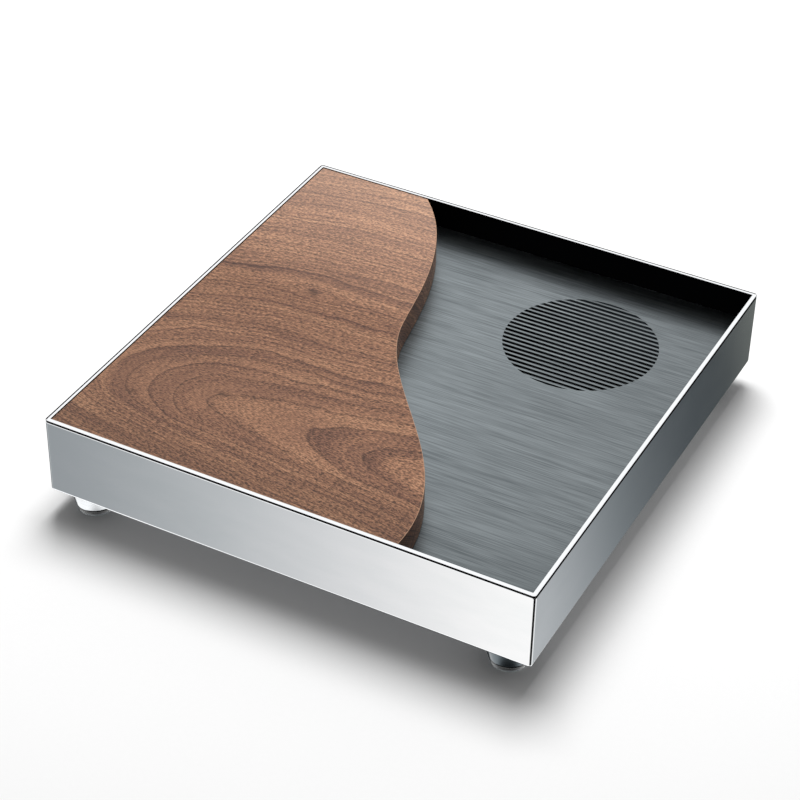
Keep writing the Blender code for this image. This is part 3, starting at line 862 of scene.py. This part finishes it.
footSettings = {
    "topRadius": 14.0 * mm, "lowRadius": 12.0 * mm, "edge": 0.4 * mm,
    "bore": 2.8 * mm, "boreDepth": 7.0 * mm,          # for the foot's screw
    "plug": 9.0 * mm, "plugDepth": 1.2 * mm,          # where the tread is pressed in
}
treadSettings = {
    "plugGap": 0.3 * mm, "lip": 11.6 * mm, "base": 10.6 * mm, "face": 4.5 * mm,
    # the rolled rim round the base, as radius beyond the base and height
    "rim": ((0.35, 1.5), (-0.1, 1.3), (-0.1, 1.0), (0.0, 0.8), (0.0, 0.5), (-0.15, 0.15), (-0.5, 0.0)),
}


def standPiece(piece, x, y):
    piece.location = (x, y, 0)
    applyPlace(piece)
    closeOff(piece, 40)


def coneProfile(top, bottom):
    s = footSettings
    wide, narrow, edge = s["topRadius"], s["lowRadius"], s["edge"]
    return [
        (s["bore"], top - s["boreDepth"]), (s["bore"], top), (wide - edge, top),
        (wide - edge * 0.3, top - edge * 0.3), (wide, top - edge),
        (narrow + edge / 4, bottom + edge * 2), (narrow - edge / 20, bottom + edge),
        (narrow - edge * 0.3, bottom + edge * 0.3), (narrow - edge, bottom),
        (s["plug"], bottom), (s["plug"], bottom + s["plugDepth"]),
    ]


def treadProfile(top):
    s = treadSettings
    plug, lip, face = footSettings["plug"] - s["plugGap"], s["lip"], s["face"]
    profile = [
        (plug, top), (plug, face), (lip - 0.5 * mm, face),
        (lip - 0.15 * mm, face - 0.15 * mm), (lip, face - 0.5 * mm),
    ]
    return profile + [(s["base"] + out * mm, z * mm) for out, z in s["rim"]]


def buildFeet():
    for side in ("front_left", "front_right", "back_left", "back_right"):
        coneName, treadName = "foot_cone_" + side, "foot_tread_" + side
        low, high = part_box(coneName)
        cone = turnPiece(coneProfile(high[2], low[2]))
        standPiece(cone, *middleOf(coneName))
        finishPiece(cone, "footCone_" + side, "case", "polished_steel", [coneName], footSteel)
        tread = turnPiece(treadProfile(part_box(treadName)[1][2]))
        standPiece(tread, *middleOf(coneName))
        finishPiece(tread, "footTread_" + side, "case", "black_silicone", [treadName], treadRubber)


def refineNode(name, body, slotName, finish, angle=35.0):
    # a copy of the CAD node with its doubles merged and its round sides shaded smooth
    source = nodes[name]
    piece = bpy.data.objects.new(name + "Fine", source.data.copy())
    bpy.context.scene.collection.objects.link(piece)
    piece.data.materials.clear()
    closeOff(piece, angle)
    parts = name.split("_")
    fine = parts[0] + "".join(part.capitalize() for part in parts[1:])
    finishPiece(piece, fine, body, slotName, [name], finish)


def paintNode(name, finish):
    item = nodes[name]
    item.data.materials.clear()
    item.data.materials.append(finish)


def buildRest():
    # the other pieces keep their CAD shape
    paintNode("deck_plate", brushedDeck)
    paintNode("deck_seal", sealRubber)
    refineNode("rim_seal", "case", "black_silicone", sealRubber)
    for name in ("deck_rib_left", "deck_rib_right"):
        paintNode(name, millSteel)
    refineNode("catch_pan", "pan", "plain_steel", millSteel)
    for name in nodes:
        if name.startswith("board_peg_"):
            refineNode(name, "deck", "plain_steel", millSteel)
        elif name.startswith("board_pad_"):
            refineNode(name, "board", "black_silicone", silicone)
        elif name.startswith("pan_rest_"):
            refineNode(name, "case", "black_silicone", silicone)
        elif name.startswith(("foot_screw_", "foot_washer_")):
            refineNode(name, "case", "plain_steel", millSteel)


buildCase()
print("case built")
buildRim()
print("rim frame built")
buildBoard()
print("board built")
buildFeet()
print("feet built")
buildRest()
print("other pieces finished")


cameraSettings = {
    "place": (0.50797, -1.00004, 0.88093),
    "turn": (52.8810, -0.9397, 28.0823),      # degrees about X, Y and Z
    "lens": 104.96,
    "sensor": 36.0,
    "farthest": 50.0,
}


def makeCamera():
    data = bpy.data.cameras.new("camera")
    camera = bpy.data.objects.new("camera", data)
    bpy.context.scene.collection.objects.link(camera)
    data.lens = cameraSettings["lens"]
    data.sensor_width = cameraSettings["sensor"]
    camera.location = cameraSettings["place"]
    camera.rotation_euler = [math.radians(v) for v in cameraSettings["turn"]]
    data.clip_end = cameraSettings["farthest"]
    bpy.context.scene.camera = camera


floorSettings = {
    "size": 12.0, "drop": -0.05 * mm, "color": "#f2f2f2", "fibre": "#f4f4f4",
    "glowFrom": 1000.0, "glowTo": 2400.0, "glow": 0.75,      # distance in millimetres, then strength
}


def makeFloor():
    deselectAll()
    s = floorSettings
    bpy.ops.mesh.primitive_plane_add(size=s["size"], location=(0, 0, s["drop"]))
    floor = bpy.context.object
    floor.name = "studioFloor"
    material, tree, shader = newMaterial("whiteSeamlessPaper")
    coords = mmCoords(tree)[0]
    fibre = noise(tree, coords, (1 / 3, 1 / 3, 1 / 3), 3.0)
    tree.links.new(mixColor(tree, fibre, rgba(s["color"]), rgba(s["fibre"])), shader.inputs["Base Color"])
    shader.inputs["Roughness"].default_value = 0.9
    shader.inputs["Specular IOR Level"].default_value = 0.0
    # far from the tray the paper is lit on its own, so that it stays white up to the horizon
    far = addNode(tree, "ShaderNodeVectorMath", {0: coords}, operation="LENGTH").outputs["Value"]
    glow = remap(tree, far, s["glowFrom"], s["glowTo"], 0.0, s["glow"], smooth=True)
    shader.inputs["Emission Color"].default_value = (1.0, 1.0, 1.0, 1.0)
    tree.links.new(glow, shader.inputs["Emission Strength"])
    floor.data.materials.append(material)
    floor.visible_glossy = False          # the polished walls mirror the studio's cards, not the paper


# the studio as polished steel sees it: colours of the cards round the horizon, by compass angle from +X
cardsAround = (
    (0, "#060607"), (9, "#060607"),                        # black flag on the right
    (17, "#f4f6f7"), (60, "#e8ebec"), (64, "#b1b5b8"), (66.5, "#acb0b4"), (67.5, "#93989c"),
    (69, "#6e7579"), (70.5, "#565b5f"), (72, "#40464a"), (73.2, "#3e4346"), (74.3, "#6e726f"),
    (110, "#40464a"), (135, "#383d40"), (180, "#3c4144"),  # dark wall at the back
    (195, "#a8adb0"), (215, "#bcc1c4"), (227, "#9aa0a4"), (232, "#92979b"), (236.5, "#b2b6b9"),
    (241, "#d8d9db"), (247, "#fdfdfd"), (298, "#fafafa"),  # white card in front
    (305, "#060607"), (360, "#060607"),
)
studioSettings = {
    "fillBefore": 0.10,        # soft light on all that isn't shiny: less from the front, more from behind
    "fillBehind": 0.44,
    "dome": 1.22,              # the white tent overhead, as the steel sees it
    "domeEdge": (-8.0, 10.0),  # degrees over which its lower edge fades in
    "domeLift": 12.0,          # how much higher that edge hangs at the back
    "underBand": 1.5,          # pale band low down, seen in the bends along the lower edges
    "underEdge": (-43.5, -49.0),
    "nadir": (0.02, 0.02, 0.022, 1.0),      # straight below the steel sees the tray's own shade
    "nadirEdge": (-62.0, -67.0),
    "flag": "#4a4f52",
    "flagSides": (14, 22, 84, 76),          # compass angles over which it fades in and out again
    "flagHeights": (-4.0, 2.0, 33.0, 27.0),
    "keyPower": 30.5,
    "keyPlace": (-0.225, 0.445, 1.578),
    "keyWide": 0.82,
    "keyDeep": 0.95,
}


def cardStops():
    # each card divided by the steel's own tint, so that it shows in the steel at its own colour
    tint = toLinear(mirrorSettings["tint"])
    stops = []
    for angle, hexText in cardsAround:
        values = [v / t for v, t in zip(toLinear(hexText), tint)]
        stops.append((angle / 360, (*values, 1.0)))
    return stops


def between(tree, value, low, lowFull, high, highFull, smooth=False):
    # 1 between lowFull and highFull, fading to 0 at low and at high
    return calc(tree, "MULTIPLY", remap(tree, value, low, lowFull, smooth=smooth),
                remap(tree, value, high, highFull, smooth=smooth))


def studioCards(tree, split):
    # what polished steel sees: cards round the horizon, the tent above, a pale band and the dark below
    s = studioSettings
    turn = calc(tree, "DIVIDE", calc(tree, "ARCTAN2", split[1], split[0]), 2 * math.pi)
    turn = calc(tree, "FRACT", turn)
    degrees = calc(tree, "MULTIPLY", turn, 360.0)
    rise = calc(tree, "MULTIPLY", calc(tree, "ARCSINE", split[2]), 180 / math.pi)
    # the cards on the right stand at a slant
    onRight = between(tree, degrees, 30, 45, 100, 85)
    slant = calc(tree, "MULTIPLY", calc(tree, "ADD", rise, 38.0), 0.32 / 360)
    slant = calc(tree, "MULTIPLY", slant, onRight)
    cards = ramp(tree, calc(tree, "ADD", turn, slant), cardStops())
    nearSide = calc(tree, "SUBTRACT", 1.0, between(tree, degrees, 82, 96, 165, 150, smooth=True))
    lowDown = remap(tree, rise, *s["underEdge"], smooth=True)
    band = s["underBand"]
    cards = mixColor(tree, calc(tree, "MULTIPLY", lowDown, nearSide), cards, (band, band, band, 1.0))
    cards = mixColor(tree, remap(tree, rise, *s["nadirEdge"], smooth=True), cards, s["nadir"])
    # the tent's lower edge hangs higher at the back, which darkens the rim's far edges
    behind = between(tree, degrees, 75, 95, 210, 190, smooth=True)
    fall = calc(tree, "SUBTRACT", rise, calc(tree, "MULTIPLY", behind, s["domeLift"]))
    dome = s["dome"]
    cards = mixColor(tree, remap(tree, fall, *s["domeEdge"], smooth=True), cards, (dome, dome, dome, 1.0))
    # a dark flag stands low on the right, so that the wall's lip stays quiet on that side
    flag = calc(tree, "MULTIPLY", between(tree, degrees, *s["flagSides"]),
                between(tree, rise, *s["flagHeights"], smooth=True))
    return mixColor(tree, flag, cards, rgba(s["flag"]))


def makeWorld():
    world = bpy.data.worlds.new("studio")
    bpy.context.scene.world = world
    world.use_nodes = True
    tree = world.node_tree
    tree.nodes.clear()
    s = studioSettings
    direction = addNode(tree, "ShaderNodeTexCoord").outputs["Generated"]
    split = addNode(tree, "ShaderNodeSeparateXYZ", {0: direction}).outputs
    # only steel seen straight finds the cards: light from the paper or the wood finds the even fill
    path = addNode(tree, "ShaderNodeLightPath").outputs
    straight = calc(tree, "LESS_THAN", path["Diffuse Depth"], 0.5)
    shiny = calc(tree, "MULTIPLY", path["Is Glossy Ray"], straight)
    fill = remap(tree, split[1], -0.7, 0.7, s["fillBefore"], s["fillBehind"])
    light = mixColor(tree, shiny, fill, studioCards(tree, split))
    light = mixColor(tree, path["Is Camera Ray"], light, (1.0, 1.0, 1.0, 1.0))
    background = addNode(tree, "ShaderNodeBackground", {"Color": light, "Strength": 1.0})
    addNode(tree, "ShaderNodeOutputWorld", {"Surface": background.outputs[0]})
    world.cycles.sampling_method = "NONE"
    bpy.context.scene.view_settings.view_transform = "Standard"


def makeKeyLight():
    # a soft box above and behind, which the steel doesn't mirror
    data = bpy.data.lights.new("key", "AREA")
    data.energy = studioSettings["keyPower"]
    data.shape = "RECTANGLE"
    data.size = studioSettings["keyWide"]
    data.size_y = studioSettings["keyDeep"]
    key = bpy.data.objects.new("key", data)
    key.location = studioSettings["keyPlace"]
    key.rotation_euler = (Vector((0, 0, 0)) - key.location).to_track_quat("-Z", "Y").to_euler()
    key.visible_glossy = False
    bpy.context.scene.collection.objects.link(key)


makeCamera()
makeFloor()
makeWorld()
makeKeyLight()
print("camera, floor and studio set")
